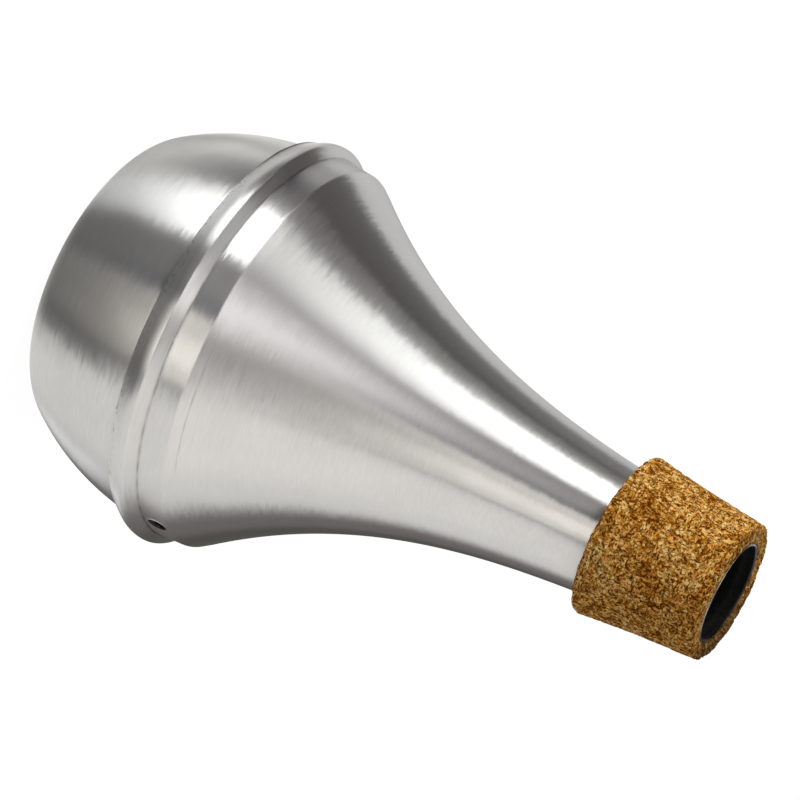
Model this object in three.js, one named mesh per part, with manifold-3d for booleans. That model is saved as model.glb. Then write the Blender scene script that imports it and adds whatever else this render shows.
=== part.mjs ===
// Practice mute for a trumpet: a spun aluminium body with a rolled bead seam, a spun bowl that
// closes its wide end, a tapered cork sleeve on the neck, a black liner in the bore and a
// damping ring behind the vent hole. Millimetres, +Z up. The mute stands on its flat base, the
// origin is the centre of that base, and +Z runs along the axis to the cork end.
import * as THREE from 'three';
import { mergeVertices } from 'three/addons/utils/BufferGeometryUtils.js';
import Module from 'manifold-3d';

const wasm = await Module();
wasm.setup();

// Sheet, and the least gap between two pieces that touch on the real mute
const sheet_wall = 0.8;
const seat_gap = 0.3;

// Bowl, measured on its outside
const bowl_height = 37.7;
const base_flat_radius = 24.4;
const bowl_corner_radius = 12.6;
const bowl_side_radius = 57.6;
const bowl_inset = 0.65;
const flange_bend = 0.7;

// Neck and flare, measured on the outside of the body, from the neck's rim towards the base
const neck_rim_radius = 11.75;
const neck_taper_share = 0.0936;
const neck_rim_wall = 0.6;
const flare_start = 20;
const flare_length = 109.5;
const flare_end_radius = 43.05;
const flare_power_share = 2.83;

// Shoulder and vent band
const shoulder_length = 2;
const shoulder_rise = 1.4;
const shoulder_bend = 1.1;
const band_length = 6;
const band_rise = 0.5;
const band_corner_bend = 0.4;
const vent_diameter = 4.6;
const vent_from_bead = 3.1;

// Rolled bead, from the band's corner towards the base
const bead_rise = 2.55;
const bead_step_slant = 0.7;
const bead_crown_bend = 1.9;
const bead_crown_length = 2.9;
const bead_shoulder_bend = 4;
const bead_flank_length = 3.8;
const bead_lip_gap = 0.2;

// Cork sleeve
const cork_length = 26.6;
const cork_tip_radius = 15.6;
const cork_back_radius = 18.5;
const cork_tip_round = 0.8;
const cork_back_round = 1.1;

// Bore liner
const liner_length = 40;
const liner_wall = 0.9;
const liner_recess = 0.2;

// Damping ring, whose foot is placed as a share of the bowl's height
const damping_foot_share = 0.73;
const damping_thickness = 11;
const damping_round = 3.5;

// Facets
const sheet_segments = 60;
const sleeve_segments = 48;
const hole_segments = 24;
const flare_steps = 12;
const neck_steps = 2;
const liner_steps = 3;
const base_corner_steps = 5;
const bowl_side_steps = 6;
const crown_steps = 4;
const bend_steps = 3;
const small_bend_steps = 2;
const cut_overrun = 2;

// Heights above the base that several pieces share
const flange_back_height = bowl_height - sheet_wall;
const bead_step_height = bowl_height + seat_gap + sheet_wall;
const bead_flank_height = bead_step_height - bead_crown_length;
const bead_lip_height = bead_flank_height - bead_flank_length;
const band_end_height = bead_step_height + bead_step_slant;
const shoulder_end_height = band_end_height + band_length;
const flare_end_height = shoulder_end_height + shoulder_length;
const mute_height = flare_end_height + flare_length;

// Radii that several pieces share
const shoulder_end_radius = flare_end_radius + shoulder_rise;
const band_end_radius = shoulder_end_radius + band_rise;
const bead_radius = band_end_radius + bead_rise;
const bowl_mouth_radius = band_end_radius - bowl_inset;
const bead_lip_radius = bowl_mouth_radius + sheet_wall + bead_lip_gap;
const flange_radius = bead_radius - sheet_wall - 2 * seat_gap;

// Radius of the body's outside at a distance from the neck's rim: a straight cone, plus a rise
// that grows as a power of the share of the flare already passed.
function flareRadius(from_rim) {
  const cone_end_radius = neck_rim_radius + neck_taper_share * flare_length;
  const rise = flare_end_radius - cone_end_radius;
  const share = Math.max(0, (from_rim - flare_start) / (flare_length - flare_start));
  return neck_rim_radius + neck_taper_share * from_rim + rise * share ** flare_power_share;
}

// Points of an arc about a centre, both ends included.
function arcPoints(centre, radius, start_angle, end_angle, steps) {
  const points = [];
  for (let i = 0; i <= steps; i += 1) {
    const angle = start_angle + ((end_angle - start_angle) * i) / steps;
    const x = centre.x + radius * Math.cos(angle);
    const y = centre.y + radius * Math.sin(angle);
    points.push(new THREE.Vector2(x, y));
  }
  return points;
}

// An outline of straight runs whose corners are bent to a radius. Each corner is
// { at: Vector2, bend, steps }; a corner without a bend stays sharp.
function bentOutline(corners) {
  const points = [];
  corners.forEach((corner, i) => {
    if (!corner.bend) {
      points.push(corner.at);
      return;
    }
    const before = corners[i - 1].at.clone().sub(corner.at).normalize();
    const after = corners[i + 1].at.clone().sub(corner.at).normalize();
    const half_angle = Math.acos(before.dot(after)) / 2;
    const to_centre = before.clone().add(after).normalize();
    const centre = corner.at.clone().addScaledVector(to_centre, corner.bend / Math.sin(half_angle));
    const tangent_length = corner.bend / Math.tan(half_angle);
    const first = corner.at.clone().addScaledVector(before, tangent_length).sub(centre);
    const last = corner.at.clone().addScaledVector(after, tangent_length).sub(centre);
    const turn = Math.atan2(first.cross(last), first.dot(last));
    const start_angle = first.angle();
    points.push(...arcPoints(centre, corner.bend, start_angle, start_angle + turn, corner.steps));
  });
  return points;
}

// The inner side of a sheet whose outer side is given: each point moves square to the outline,
// to the left of its run, by the wall.
function innerSide(outer, wall) {
  const runs = outer.slice(1).map((point, i) => point.clone().sub(outer[i]).normalize());
  return outer.map((point, i) => {
    const run_in = runs[Math.max(i - 1, 0)];
    const run_out = runs[Math.min(i, runs.length - 1)];
    const along = run_in.clone().add(run_out).normalize();
    const left = new THREE.Vector2(-along.y, along.x);
    return point.clone().addScaledVector(left, wall / along.dot(run_in));
  });
}

// A profile of radius and height turned about the Z axis. The profile runs with the material on
// its left, and starts and ends on the axis or closes on itself.
function turned(profile, segments) {
  const geometry = new THREE.LatheGeometry(profile, segments);
  geometry.rotateX(Math.PI / 2);
  return geometry;
}

function closed(profile) {
  return [...profile, profile[0].clone()];
}

// A solid that can be cut, from a closed geometry.
function toSolid(geometry) {
  const bare = geometry.clone();
  bare.deleteAttribute('normal');
  bare.deleteAttribute('uv');
  const merged = mergeVertices(bare);
  const mesh = new wasm.Mesh({
    numProp: 3,
    vertProperties: new Float32Array(merged.attributes.position.array),
    triVerts: new Uint32Array(merged.index.array),
  });
  mesh.merge();
  return new wasm.Manifold(mesh);
}

function toGeometry(solid) {
  const mesh = solid.getMesh();
  const geometry = new THREE.BufferGeometry();
  geometry.setAttribute('position', new THREE.BufferAttribute(mesh.vertProperties, mesh.numProp));
  geometry.setIndex(new THREE.BufferAttribute(mesh.triVerts, 1));
  geometry.computeVertexNormals();
  return geometry;
}

// Body: one spun sheet. Its outside runs from the rolled lip over the bead, along the vent band
// and the shoulder, and up the flare to the neck's rim.
function bodyOutside() {
  const lip = new THREE.Vector2(bead_lip_radius, bead_lip_height);
  const flank_top = new THREE.Vector2(bead_radius, bead_flank_height);
  const step_top = new THREE.Vector2(bead_radius, bead_step_height);
  const band_end = new THREE.Vector2(band_end_radius, band_end_height);
  const shoulder_end = new THREE.Vector2(shoulder_end_radius, shoulder_end_height);
  const flare_end = new THREE.Vector2(flare_end_radius, flare_end_height);
  const seam = bentOutline([
    { at: lip },
    { at: flank_top, bend: bead_shoulder_bend, steps: bend_steps },
    { at: step_top, bend: bead_crown_bend, steps: crown_steps },
    { at: band_end, bend: band_corner_bend, steps: small_bend_steps },
    { at: shoulder_end, bend: shoulder_bend, steps: small_bend_steps },
    { at: flare_end },
  ]);
  const flare = [];
  for (let i = 1; i <= flare_steps; i += 1) {
    const from_rim = flare_length - ((flare_length - flare_start) * i) / flare_steps;
    flare.push(new THREE.Vector2(flareRadius(from_rim), mute_height - from_rim));
  }
  for (let i = 1; i <= neck_steps; i += 1) {
    const from_rim = flare_start - (flare_start * i) / neck_steps;
    flare.push(new THREE.Vector2(flareRadius(from_rim), mute_height - from_rim));
  }
  return [...seam, ...flare];
}

function bodyProfile() {
  const outside = bodyOutside();
  const inside = innerSide(outside, sheet_wall);
  inside[inside.length - 1].set(neck_rim_radius - neck_rim_wall, mute_height);
  return closed([...outside, ...inside.reverse()]);
}

// The vent's cutter: a round drill that comes in from the front, square to the axis.
function ventCutter() {
  const length = 2 * cut_overrun + band_end_radius - shoulder_end_radius + 2 * sheet_wall;
  const drill = new THREE.CylinderGeometry(vent_diameter / 2, vent_diameter / 2, length, hole_segments);
  const wall_middle = (band_end_radius + shoulder_end_radius - sheet_wall) / 2;
  drill.translate(0, -wall_middle, band_end_height + vent_from_bead);
  return toSolid(drill);
}

function bodyShell() {
  return toGeometry(toSolid(turned(bodyProfile(), sheet_segments)).subtract(ventCutter()));
}

// The two arcs of the bowl's outside: the base corner, and the side, which runs on from the
// corner without a break and passes through the bowl's mouth.
const bowl_corner_centre = new THREE.Vector2(base_flat_radius, bowl_corner_radius);
const bowl_mouth = new THREE.Vector2(bowl_mouth_radius, flange_back_height - flange_bend);
const bowl_side_centre = sideCentre(bowl_corner_centre, bowl_mouth);

function sideCentre(corner_centre, mouth) {
  const to_mouth = mouth.clone().sub(corner_centre);
  const span = to_mouth.length();
  const corner_reach = bowl_side_radius - bowl_corner_radius;
  const along = (span ** 2 + corner_reach ** 2 - bowl_side_radius ** 2) / (2 * span);
  const across = Math.sqrt(corner_reach ** 2 - along ** 2);
  const unit = to_mouth.normalize();
  const centre = corner_centre.clone().addScaledVector(unit, along);
  return centre.addScaledVector(new THREE.Vector2(-unit.y, unit.x), across);
}

// Radius of the bowl's outside at a height on its side arc.
function bowlSideRadius(height) {
  return bowl_side_centre.x + Math.sqrt(bowl_side_radius ** 2 - (height - bowl_side_centre.y) ** 2);
}

// Bowl: one spun sheet. Its outside runs from the centre of the flat base, round the base corner
// and up the side, and turns out into the flange that the bead holds.
function bowlOutside() {
  const to_corner = bowl_corner_centre.clone().sub(bowl_side_centre);
  const to_mouth = bowl_mouth.clone().sub(bowl_side_centre);
  const meet_angle = Math.atan2(to_corner.y, to_corner.x);
  const mouth_angle = Math.atan2(to_mouth.y, to_mouth.x);
  const corner_arc = [bowl_corner_centre, bowl_corner_radius, -Math.PI / 2, meet_angle];
  const corner = arcPoints(...corner_arc, base_corner_steps);
  const side_arc = [bowl_side_centre, bowl_side_radius, meet_angle, mouth_angle];
  const side = arcPoints(...side_arc, bowl_side_steps).slice(1);
  const bend_centre = bowl_mouth.clone().add(new THREE.Vector2(flange_bend, 0));
  const bend = arcPoints(bend_centre, flange_bend, Math.PI, Math.PI / 2, bend_steps).slice(1);
  return [...corner, ...side, ...bend, new THREE.Vector2(flange_radius, flange_back_height)];
}

function endBowl() {
  const outside = bowlOutside();
  const inside = innerSide(outside, sheet_wall);
  inside[0].set(base_flat_radius, sheet_wall);
  const centre_outside = new THREE.Vector2(0, 0);
  const centre_inside = new THREE.Vector2(0, sheet_wall);
  return turned([centre_outside, ...outside, ...inside.reverse(), centre_inside], sheet_segments);
}

// Cork: a tapered sleeve with rounded ends, glued round the neck.
function corkSleeve() {
  const back_height = mute_height - cork_length;
  const back_bore = flareRadius(cork_length) + seat_gap;
  const tip_bore = flareRadius(0) + seat_gap;
  const profile = bentOutline([
    { at: new THREE.Vector2(tip_bore, mute_height) },
    { at: new THREE.Vector2(back_bore, back_height) },
    { at: new THREE.Vector2(cork_back_radius, back_height), bend: cork_back_round, steps: bend_steps },
    { at: new THREE.Vector2(cork_tip_radius, mute_height), bend: cork_tip_round, steps: bend_steps },
    { at: new THREE.Vector2(tip_bore, mute_height) },
  ]);
  return turned(profile, sleeve_segments);
}

// Liner: a thin tapered tube that follows the neck's inside, pushed in until it wedges.
function neckLiner() {
  const outside = [];
  for (let i = 0; i <= liner_steps; i += 1) {
    const from_rim = liner_length + ((liner_recess - liner_length) * i) / liner_steps;
    const radius = flareRadius(from_rim) - sheet_wall - seat_gap;
    outside.push(new THREE.Vector2(radius, mute_height - from_rim));
  }
  const inside = outside.map((point) => new THREE.Vector2(point.x - liner_wall, point.y));
  return turned(closed([...outside, ...inside.reverse()]), sleeve_segments);
}

// Damping ring: a soft strip that lines the widest stretch of the chamber, behind the vent. Its
// outside leans with the bowl's side and stands upright above the bowl's mouth.
function dampingRing() {
  const foot_height = bowl_height * damping_foot_share;
  const foot_radius = bowlSideRadius(foot_height) - sheet_wall - seat_gap;
  const mouth_radius = bowl_mouth_radius - sheet_wall - seat_gap;
  const inner_radius = mouth_radius - damping_thickness;
  const inner_round = damping_round / 2;
  const start = new THREE.Vector2(inner_radius, bowl_height);
  return turned(bentOutline([
    { at: start },
    { at: new THREE.Vector2(inner_radius, foot_height), bend: inner_round, steps: small_bend_steps },
    { at: new THREE.Vector2(foot_radius, foot_height), bend: damping_round, steps: bend_steps },
    { at: new THREE.Vector2(mouth_radius, flange_back_height) },
    { at: new THREE.Vector2(mouth_radius, shoulder_end_height), bend: damping_round, steps: bend_steps },
    { at: new THREE.Vector2(inner_radius, shoulder_end_height), bend: inner_round, steps: small_bend_steps },
    { at: start },
  ]), sleeve_segments);
}

function piece(name, geometry, color, roughness, metalness) {
  const material = new THREE.MeshStandardMaterial({ color, roughness, metalness });
  const mesh = new THREE.Mesh(geometry, material);
  mesh.name = name;
  return mesh;
}

const aluminium = '#cfcdc9';
const mute = new THREE.Group();
mute.name = 'practice_mute';
mute.add(
  piece('body_shell', bodyShell(), aluminium, 0.3, 1),
  piece('end_bowl', endBowl(), aluminium, 0.3, 1),
  piece('cork_sleeve', corkSleeve(), '#b3803f', 0.85, 0),
  piece('neck_liner', neckLiner(), '#101010', 0.7, 0),
  piece('damping_ring', dampingRing(), '#2a2c27', 0.95, 0),
);

export default mute;
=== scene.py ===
from math import acos, atan2, pi, radians, sin, sqrt, tan, tau

import bpy
import numpy as np
from mathutils import Matrix, Vector
from numpy.linalg import norm

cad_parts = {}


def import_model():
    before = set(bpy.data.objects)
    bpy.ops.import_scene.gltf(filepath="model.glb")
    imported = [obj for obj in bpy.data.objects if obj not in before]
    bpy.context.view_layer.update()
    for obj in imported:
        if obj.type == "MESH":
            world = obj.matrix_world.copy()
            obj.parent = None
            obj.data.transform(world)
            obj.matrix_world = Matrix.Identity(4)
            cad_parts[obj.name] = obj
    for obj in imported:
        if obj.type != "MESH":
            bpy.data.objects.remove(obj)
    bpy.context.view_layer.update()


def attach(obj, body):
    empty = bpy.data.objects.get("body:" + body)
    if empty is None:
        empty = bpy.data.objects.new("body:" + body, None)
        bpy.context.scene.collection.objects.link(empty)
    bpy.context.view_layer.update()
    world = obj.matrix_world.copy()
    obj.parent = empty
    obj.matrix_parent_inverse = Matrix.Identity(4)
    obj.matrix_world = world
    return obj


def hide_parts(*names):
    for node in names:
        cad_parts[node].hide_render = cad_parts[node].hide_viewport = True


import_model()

# Shapes are worked out in millimetres, and become metres in the meshes
MM = 0.001

# Sheet, and the least gap between two pieces
SHEET_WALL = 0.8
SEAT_GAP = 0.3

# Bowl
BOWL_HEIGHT = 37.7
BASE_FLAT_RADIUS = 24.4
BASE_POLE_RADIUS = 0.6
BOWL_CORNER_RADIUS = 12.6
BOWL_SIDE_RADIUS = 57.6
BOWL_FINE_FROM = 0.75
BOWL_INSET = 0.65
FLANGE_BEND = 0.7
FLANGE_WIDTH = 0.4

# Neck and flare, from the neck's rim towards the base
NECK_RIM_RADIUS = 11.75
NECK_TAPER = 0.0936
NECK_RIM_WALL = 0.42
NECK_RIM_RECESS = 0.32
NECK_THINNING = 3.0
FLARE_START = 20.0
FLARE_LENGTH = 109.5
FLARE_END_RADIUS = 43.05
FLARE_POWER = 2.83
FLARE_FIRST_ROWS = [0, 0.06, 0.13, 0.22, 0.35, 0.55, 0.85, 1.3]
FLARE_ROWS = 62

# Shoulder, vent band and rolled bead
SHOULDER_LENGTH = 2.0
SHOULDER_RISE = 1.4
SHOULDER_BEND = 1.1
BAND_LENGTH = 6.0
BAND_RISE = 0.5
BAND_CORNER_BEND = 0.4
BEAD_RISE = 2.55
BEAD_STEP_SLANT = 0.7
BEAD_EDGE = 1.7
BEAD_EDGE_BEND = 0.85
BEAD_EDGE_SHARPNESS = 0.035
BEAD_EDGE_WIDTH = 0.2
BEAD_CROWN_LENGTH = 2.9
BEAD_SHOULDER_BEND = 4.0
BEAD_FLANK_LENGTH = 3.5
BEAD_LIP_GAP = 0.2
CREASE_DEPTH = 0.06
CREASE_WIDTH = 0.22
SCRIBE_DEPTH = 0.015
SCRIBE_WIDTH = 0.12

# Vent: the hole, its edges, the burr on one side, and the window it is cut from
VENT_RADIUS = 2.13
VENT_FROM_BEAD = 3.1
VENT_EDGE = 0.06
VENT_EDGE_RINGS = 5
VENT_OUTER_RINGS = (0.35, 0.68, 0.88, 0.98)
VENT_INNER_RINGS = (0.7, 0.4)
VENT_BURR = 0.08
VENT_BURR_WIDTH = 0.25
VENT_BURR_SIDE = 0.4
VENT_WINDOW_BELOW = 0.5
VENT_WINDOW_ABOVE = 0.42
VENT_WINDOW_DEPTH = 0.02
VENT_HALF_COLUMNS = 4

# Cork sleeve
CORK_LENGTH = 27.4
CORK_TIP_RADIUS = 15.6
CORK_BACK_RADIUS = 18.5
CORK_TIP_ROUND = 0.5
CORK_BACK_ROUND = 1.0
CORK_SAG = 0.32
CORK_SAG_POWER = 1.15
CORK_SLANT = 0.45
CORK_SLANT_ANGLE = radians(117)
CORK_DISH = 1.0
CORK_MOUTH_GAP = 0.1
CORK_BORE_GAP = 0.02
CORK_SPACING = 0.24

# Cork surface: pits between granules, and bits that are broken out of the two edges
CORK_PIT_DEPTH = 0.32
CORK_PIT_WIDTH = 0.35
CORK_FINE_PIT_WIDTH = 0.4
CORK_DEEP_FROM = 0.35
CORK_GAP_SHARE = 0.4
CORK_SINK_SHARE = 0.3
CORK_FINE_SHARE = 0.3
CORK_CHIP_FROM = 0.62
CORK_CHIP_FADE = 0.12
CORK_CHIP_GAP = 0.2
CORK_CHIP_DEPTH = 1.5
CORK_CHIP_REACH = 1.1
CORK_CALM_RADIUS = 12.4
CORK_CALM_FADE = 1.5
CORK_CALM_SHARE = 0.35

# Granules and foam cells: their size and the seed of their places
CORK_COARSE = (1.05, 11)
CORK_FINE = (0.5, 29)
CORK_CHIPS = (1.5, 53)
FOAM_CELLS = (1.6, 41)

# Bore liner
LINER_LENGTH = 40.0
LINER_WALL = 0.9
LINER_RECESS = 0.08
LINER_LIP = 0.6
LINER_LIP_START = 3.2
LINER_LIP_THIN = 2.4
LINER_ROWS = 20

# Damping ring
DAMPING_FOOT_SHARE = 0.73
DAMPING_THICKNESS = 11.0
DAMPING_ROUND = 3.5
DAMPING_DIMPLE = 0.25
DAMPING_SINK = 0.2
DAMPING_SPACING = 0.7

# Heights and radii that several pieces share
FLANGE_BACK = BOWL_HEIGHT - SHEET_WALL
BEAD_STEP = BOWL_HEIGHT + SEAT_GAP + SHEET_WALL
BEAD_FLANK = BEAD_STEP - BEAD_CROWN_LENGTH
BEAD_LIP = BEAD_FLANK - BEAD_FLANK_LENGTH
BAND_END = BEAD_STEP + BEAD_STEP_SLANT
SHOULDER_END = BAND_END + BAND_LENGTH
FLARE_END = SHOULDER_END + SHOULDER_LENGTH
MUTE_HEIGHT = FLARE_END + FLARE_LENGTH
NECK_RIM = MUTE_HEIGHT - NECK_RIM_RECESS
SHOULDER_END_RADIUS = FLARE_END_RADIUS + SHOULDER_RISE
BAND_END_RADIUS = SHOULDER_END_RADIUS + BAND_RISE
BEAD_RADIUS = BAND_END_RADIUS + BEAD_RISE
BOWL_MOUTH_RADIUS = BAND_END_RADIUS - BOWL_INSET
BEAD_LIP_RADIUS = BOWL_MOUTH_RADIUS + SHEET_WALL + BEAD_LIP_GAP
FLANGE_RADIUS = BOWL_MOUTH_RADIUS + FLANGE_BEND + FLANGE_WIDTH
VENT_HEIGHT = BAND_END + VENT_FROM_BEAD
BOWL_CORNER = np.array([BASE_FLAT_RADIUS, BOWL_CORNER_RADIUS])
BOWL_MOUTH = np.array([BOWL_MOUTH_RADIUS, FLANGE_BACK - FLANGE_BEND])

# Seam as rolled by hand: where and how far its lip stands off and its bead is flatter
LIP_LOOSE_ANGLE = radians(110)
LIP_LIFT = 0.75
LIP_SET_IN = 0.06
LIP_FADE = 2.2
BEAD_FLAT_ANGLE = radians(107)
BEAD_FLATNESS = 0.33
BEAD_FLAT_START = 0.4
BEAD_FLAT_FADE = 1.2

# Neck's rim: how it is drawn in, lowered, tilted and moved to one side
RIM_DROP = 0.10
RIM_TILT = 0.40
RIM_TILT_ANGLE = radians(-31)
RIM_SHIFT = -0.22
RIM_SHRINK = 0.035
RIM_SETTLE_DEPTH = 6.0
RIM_SETTLE_REACH = 1.1
RIM_SETTLE_FADE = 0.9

# Painted shade, dirt, the scribed line and a darker side of the cork's tip: angles round the axis
# and their spread, and shades from 0 to 1
# Painted shade, with some dirt, along and under the rolled lip, round this angle
LIP_SHADE_ANGLE = radians(132)
LIP_SHADE_SPREAD = 0.25
LIP_LINE_WIDTH = 0.65
# Painted shade on the bowl just below the rolled lip
BOWL_SHADE_SPREAD = 0.3
BOWL_SHADE_REACH = 0.85
BOWL_SHADE_FADE = 0.16
CREASE_SHADE = 0.4
# The crease's painted shade, with some dirt, is darker round this angle
CREASE_SHADE_ANGLE = radians(285)
CREASE_SHADE_SPREAD = 0.35
CREASE_SHADE_EXTRA = 1.1
SCRIBE_ANGLE = radians(-138)
SCRIBE_FROM_COSINE = 0.93
SCRIBE_FADE_COSINE = 0.03
# The rim's painted shade is left off round this angle, where the rim is lit
RIM_LIT_ANGLE = radians(107)
RIM_LIT_SPREAD = 0.5
FAINT_SHADE = 0.45
# Painted shade in the dish round the cork's bore, and how dark the tip's darker stretch is
DISH_SHADE_RADIUS = 14.4
DISH_SHADE_DEPTH = 1.2
TIP_DARK_STRENGTH = 0.85
DISH_SHADE_START = 0.12
DISH_SHADE_FADE = 0.3
# A darker stretch on one side of the cork's tip face
TIP_DARK_ANGLE = radians(-33)
TIP_DARK_SPREAD = 1.15
TIP_DARK_DEPTH = 0.9
TIP_DARK_SIDE_FADE = 0.5
TIP_DARK_DEPTH_FADE = 0.4

# Ripples round the axis: middle, size, seed, number of sines, fewest and most waves
LIP_RIPPLE = (0, 0.06, 5, 7, 2, 26)
LIP_FINE_RIPPLE = (0, 0.04, 9, 9, 20, 70)
LIP_EDGE_RIPPLE = (0, 0.16, 21, 8, 2, 34)
# Dark line along the lip's edge and on the flank beside it: painted gap shade, with some dirt
LIP_LINE_RIPPLE = (1.442, 0.378, 71, 12, 12, 90)
FLANK_SHADE_RIPPLE = (0.4125, 0.3375, 71, 12, 12, 90)
SCRIBE_RIPPLE = (0.195, 0.15, 61, 9, 8, 60)
CREASE_RIPPLE = (0.75, 0.55, 91, 11, 6, 70)
BOWL_SHADE_RIPPLE = (0.38, 0.16, 33, 12, 6, 60)
CORK_BACK_RIPPLE = (0, 0.12, 83, 8, 3, 24)

# Grid sizes
SHEET_COLUMNS = 320
CORK_COLUMNS = 420
LINER_COLUMNS = 160
FOAM_COLUMNS = 240
RIM_STEPS = 8
LIP_STEPS = 10


# Profiles

def bell(distance, width):
    """Bell curve: e to the minus square of the distance over the width."""
    return np.exp(-(distance / width) ** 2)


def climb(distance, width):
    """Zero up to no distance, then in a straight line to one at the width."""
    return np.clip(distance / width, 0, 1)


def arc(centre, radius, start, end, steps):
    """Centre plus radius times cosine and sine, at even angles from start to end."""
    angle = np.linspace(start, end, steps + 1)
    return np.array(centre) + radius * np.stack([np.cos(angle), np.sin(angle)], axis=1)


def run(start, end, spacing):
    """Straight line whose points are bunched towards both ends by a cosine."""
    start, end = np.array(start, float), np.array(end, float)
    steps = max(2, int(round(norm(end - start) / spacing)))
    share = (1 - np.cos(np.linspace(0, pi, steps + 1))) / 2
    return start + share[:, None] * (end - start)


def bend_arc(before, corner, after, bend, steps):
    """Arc of radius bend that touches both straight runs meeting at the corner."""
    to_before = (before - corner) / norm(before - corner)
    to_after = (after - corner) / norm(after - corner)
    half = acos(float(to_before @ to_after)) / 2
    middle = to_before + to_after
    centre = corner + middle / norm(middle) * bend / sin(half)
    first = corner + to_before * bend / tan(half) - centre
    last = corner + to_after * bend / tan(half) - centre
    start = atan2(first[1], first[0])
    turn = atan2(first[0] * last[1] - first[1] * last[0], float(first @ last))
    return arc(centre, bend, start, start + turn, steps)


def join(parts):
    """Point lists end to end, without the points that repeat."""
    points = np.concatenate(parts)
    step = norm(np.diff(points, axis=0), axis=1)
    return points[np.concatenate([[True], step > 1e-6])]


def bent_outline(corners, spacing):
    """Straight runs whose corners are bent. A corner is (radius, height, bend, steps)."""
    at = [np.array(corner[:2], float) for corner in corners]
    pieces = []
    last = at[0]
    for i in range(1, len(corners) - 1):
        bend, steps = corners[i][2:]
        turn = bend_arc(at[i - 1], at[i], at[i + 1], bend, steps) if bend else at[i][None]
        pieces += [run(last, turn[0], spacing), turn]
        last = turn[-1]
    pieces.append(run(last, at[-1], spacing))
    return join(pieces)


def tangents(points):
    """Unit direction along a profile, from central differences over its length."""
    length = profile_length(points)
    along = np.gradient(points, length, axis=0)
    return along / norm(along, axis=1, keepdims=True)


def profile_length(points):
    """Length along a profile up to each of its points."""
    step = norm(np.diff(points, axis=0), axis=1)
    return np.concatenate([[0], np.cumsum(step)])


def inner_side(outer, wall):
    """Each point moved by the wall to the left of the profile, square to it."""
    along = tangents(outer)
    return outer + wall * np.stack([-along[:, 1], along[:, 0]], axis=1)


def half_round(start, end, steps):
    """Half circle from start to end, bulging to the right, without its ends."""
    centre = (start + end) / 2
    radius = norm(end - start) / 2
    begin = atan2(*(start - centre)[::-1])
    return arc(centre, radius, begin, begin + pi, steps)[1:-1]


def flare_radius(from_rim):
    """A straight cone, plus a rise that is a power of the share of the flare passed."""
    rise = FLARE_END_RADIUS - NECK_RIM_RADIUS - NECK_TAPER * FLARE_LENGTH
    share = np.maximum(0, (from_rim - FLARE_START) / (FLARE_LENGTH - FLARE_START))
    return NECK_RIM_RADIUS + NECK_TAPER * from_rim + rise * share ** FLARE_POWER


def bowl_side_centre():
    """Centre of the side arc, which runs on from the base corner to the mouth."""
    span = norm(BOWL_MOUTH - BOWL_CORNER)
    reach = BOWL_SIDE_RADIUS - BOWL_CORNER_RADIUS
    along = (span ** 2 + reach ** 2 - BOWL_SIDE_RADIUS ** 2) / (2 * span)
    unit = (BOWL_MOUTH - BOWL_CORNER) / span
    across = sqrt(reach ** 2 - along ** 2)
    return BOWL_CORNER + along * unit + across * np.array([-unit[1], unit[0]])


def bowl_side_radius(height):
    """Radius of the bowl's outside at a height on its side arc."""
    centre = bowl_side_centre()
    return centre[0] + sqrt(BOWL_SIDE_RADIUS ** 2 - (height - centre[1]) ** 2)


def body_outside():
    """Bent runs of the rolled seam from lip to shoulder, then the flare's curve."""
    seam = bent_outline([
        (BEAD_LIP_RADIUS, BEAD_LIP, 0, 0),
        (BEAD_RADIUS, BEAD_FLANK, BEAD_SHOULDER_BEND, 10),
        (BEAD_RADIUS, BEAD_FLANK + BEAD_EDGE, BEAD_EDGE_BEND, 12),
        (BAND_END_RADIUS, BAND_END, BAND_CORNER_BEND, 6),
        (SHOULDER_END_RADIUS, SHOULDER_END, SHOULDER_BEND, 5),
        (FLARE_END_RADIUS, FLARE_END, 0, 0),
    ], 0.5)
    near_end = np.array(FLARE_FIRST_ROWS) / FLARE_LENGTH
    to_rim = np.linspace(0, 1 - NECK_RIM_RECESS / FLARE_LENGTH, FLARE_ROWS)
    from_rim = FLARE_LENGTH * (1 - np.concatenate([near_end, to_rim[2:]]))
    flare = np.stack([flare_radius(from_rim), MUTE_HEIGHT - from_rim], axis=1)
    return join([seam, flare])


def near_corner(outer, corner, width):
    """Bell curve of the length along the profile from the point nearest to a corner."""
    length = profile_length(outer)
    nearest = np.argmin(norm(outer - corner, axis=1))
    return bell(length - length[nearest], width)


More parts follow.
